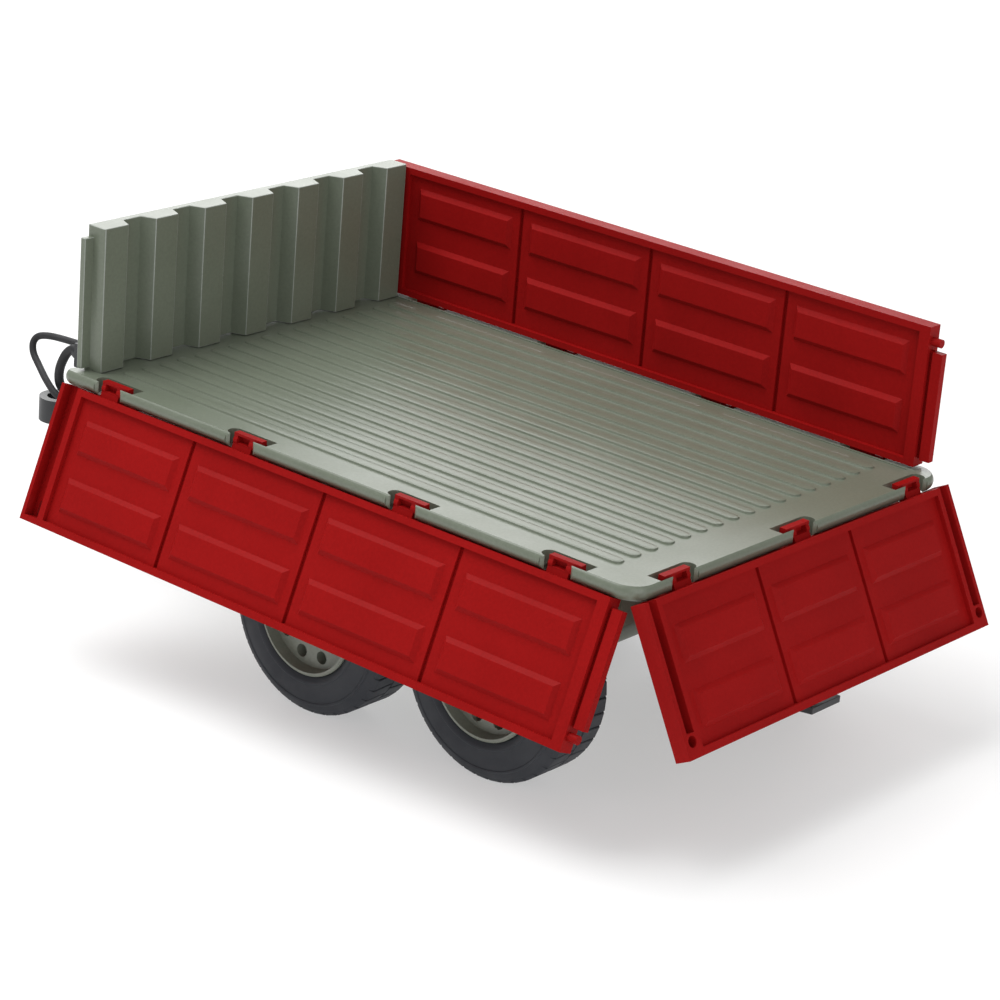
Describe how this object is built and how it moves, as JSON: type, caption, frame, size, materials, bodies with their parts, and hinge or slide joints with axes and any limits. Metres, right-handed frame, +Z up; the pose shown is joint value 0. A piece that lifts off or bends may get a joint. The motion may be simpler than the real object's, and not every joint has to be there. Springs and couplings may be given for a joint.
{
  "type": "tandem-axle drop-side trailer",
  "caption": "Toy drop-side trailer: ribbed grey bed with folding red side panels and tailgate, corrugated front wall, rocking tandem bogie, drawbar with towing eye and support leg.",
  "frame": {"origin": "on the ground under the middle of the whole bounding box", "axes": "+Z up, the drawbar points to -Y, +X is the trailer's own left side"},
  "size_m": [0.1986, 0.413, 0.1597],
  "materials": {
    "red_plastic": "semi-gloss moulded red plastic",
    "bed_plastic": "semi-gloss moulded grey-green plastic",
    "grey_plastic": "satin grey-green plastic",
    "rim_plastic": "semi-gloss grey-green plastic",
    "dark_plastic": "satin black plastic",
    "hose_rubber": "satin black rubber",
    "tyre_rubber": "matt blue-black rubber",
    "steel": "plain turned steel"
  },
  "bodies": {
    "trailer": {"chassis_frame": "grey_plastic", "platform": "bed_plastic", "front_wall": "bed_plastic", "drawbar": "dark_plastic", "hitch_eye": "dark_plastic", "hose_bracket": "dark_plastic", "brake_hose": "hose_rubber", "supply_hose": "hose_rubber", "rear_coupling": "dark_plastic", "coupling_pin": "steel", "bogie_pin": "steel", "deck_screws": "steel", "drawbar_bolts": "steel", "leg_pin": "steel"},
    "leg": {"support_leg": "dark_plastic", "leg_foot": "dark_plastic"},
    "bogie": {"bogie_rocker": "grey_plastic"},
    "left_side": {"left_panel": "red_plastic"},
    "right_side": {"right_panel": "red_plastic"},
    "tail": {"tailgate": "red_plastic"},
    "front_wheels": {"front_axle": "steel", "front_left_tyre": "tyre_rubber", "front_left_rim": "rim_plastic", "front_left_cap": "dark_plastic", "front_right_tyre": "tyre_rubber", "front_right_rim": "rim_plastic", "front_right_cap": "dark_plastic"},
    "rear_wheels": {"rear_axle": "steel", "rear_left_tyre": "tyre_rubber", "rear_left_rim": "rim_plastic", "rear_left_cap": "dark_plastic", "rear_right_tyre": "tyre_rubber", "rear_right_rim": "rim_plastic", "rear_right_cap": "dark_plastic"}
  },
  "joints": [
    {"name": "left_panel_hinge", "type": "hinge", "parent": "trailer", "child": "left_side", "pos_m": [0.07542, 0.04332, 0.09554], "axis": [0, -0.9986, 0.0523], "range_deg": [0, 158.7]},
    {"name": "right_panel_hinge", "type": "hinge", "parent": "trailer", "child": "right_side", "pos_m": [-0.09598, 0.04332, 0.09554], "axis": [0, -0.9986, 0.0523], "range_deg": [0, 158.7]},
    {"name": "tailgate_hinge", "type": "hinge", "parent": "trailer", "child": "tail", "pos_m": [-0.01028, 0.17853, 0.08846], "axis": [1, 0, 0], "range_deg": [0, 152.5]},
    {"name": "bogie_rock", "type": "hinge", "parent": "trailer", "child": "bogie", "pos_m": [-0.01028, 0.06975, 0.04], "axis": [1, 0, 0], "range_deg": [-6, 6]},
    {"name": "front_wheels_spin", "type": "hinge", "parent": "bogie", "child": "front_wheels", "pos_m": [-0.01028, 0.02815, 0.037], "axis": [1, 0, 0], "continuous": true},
    {"name": "rear_wheels_spin", "type": "hinge", "parent": "bogie", "child": "rear_wheels", "pos_m": [-0.01028, 0.11135, 0.037], "axis": [1, 0, 0], "continuous": true},
    {"name": "leg_fold", "type": "hinge", "parent": "trailer", "child": "leg", "pos_m": [-0.01028, -0.12872, 0.061], "axis": [1, 0, 0], "range_deg": [0, 85]}
  ]
}
